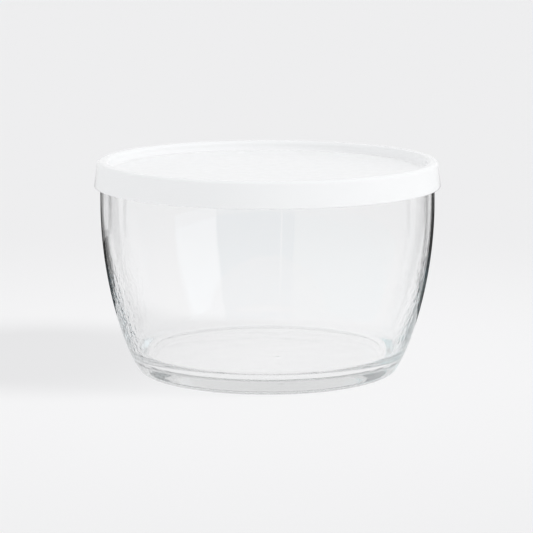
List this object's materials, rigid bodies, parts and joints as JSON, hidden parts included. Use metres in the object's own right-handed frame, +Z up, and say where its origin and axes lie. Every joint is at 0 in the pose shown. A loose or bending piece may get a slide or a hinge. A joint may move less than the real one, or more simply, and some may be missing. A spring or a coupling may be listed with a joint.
{
  "type": "glass bowl with lid",
  "caption": "Round clear glass storage bowl with a thick flat base, closed by a milky plastic lid with a recessed panel that presses over the rim.",
  "frame": {"origin": "centre of the base, on the surface the bowl stands on", "axes": "+Z up along the bowl's axis; the object is round, so X and Y are free"},
  "size_m": [0.1718, 0.1718, 0.106],
  "materials": {
    "clear_glass": "clear, fire polished",
    "milky_plastic": "translucent white, satin"
  },
  "bodies": {
    "bowl": {"glass_bowl": "clear_glass"},
    "lid": {"snap_lid": "milky_plastic"}
  },
  "joints": [
    {"name": "lid_lift", "type": "slide", "parent": "bowl", "child": "lid", "axis": [0, 0, 1], "range_m": [0, 0.04]}
  ]
}
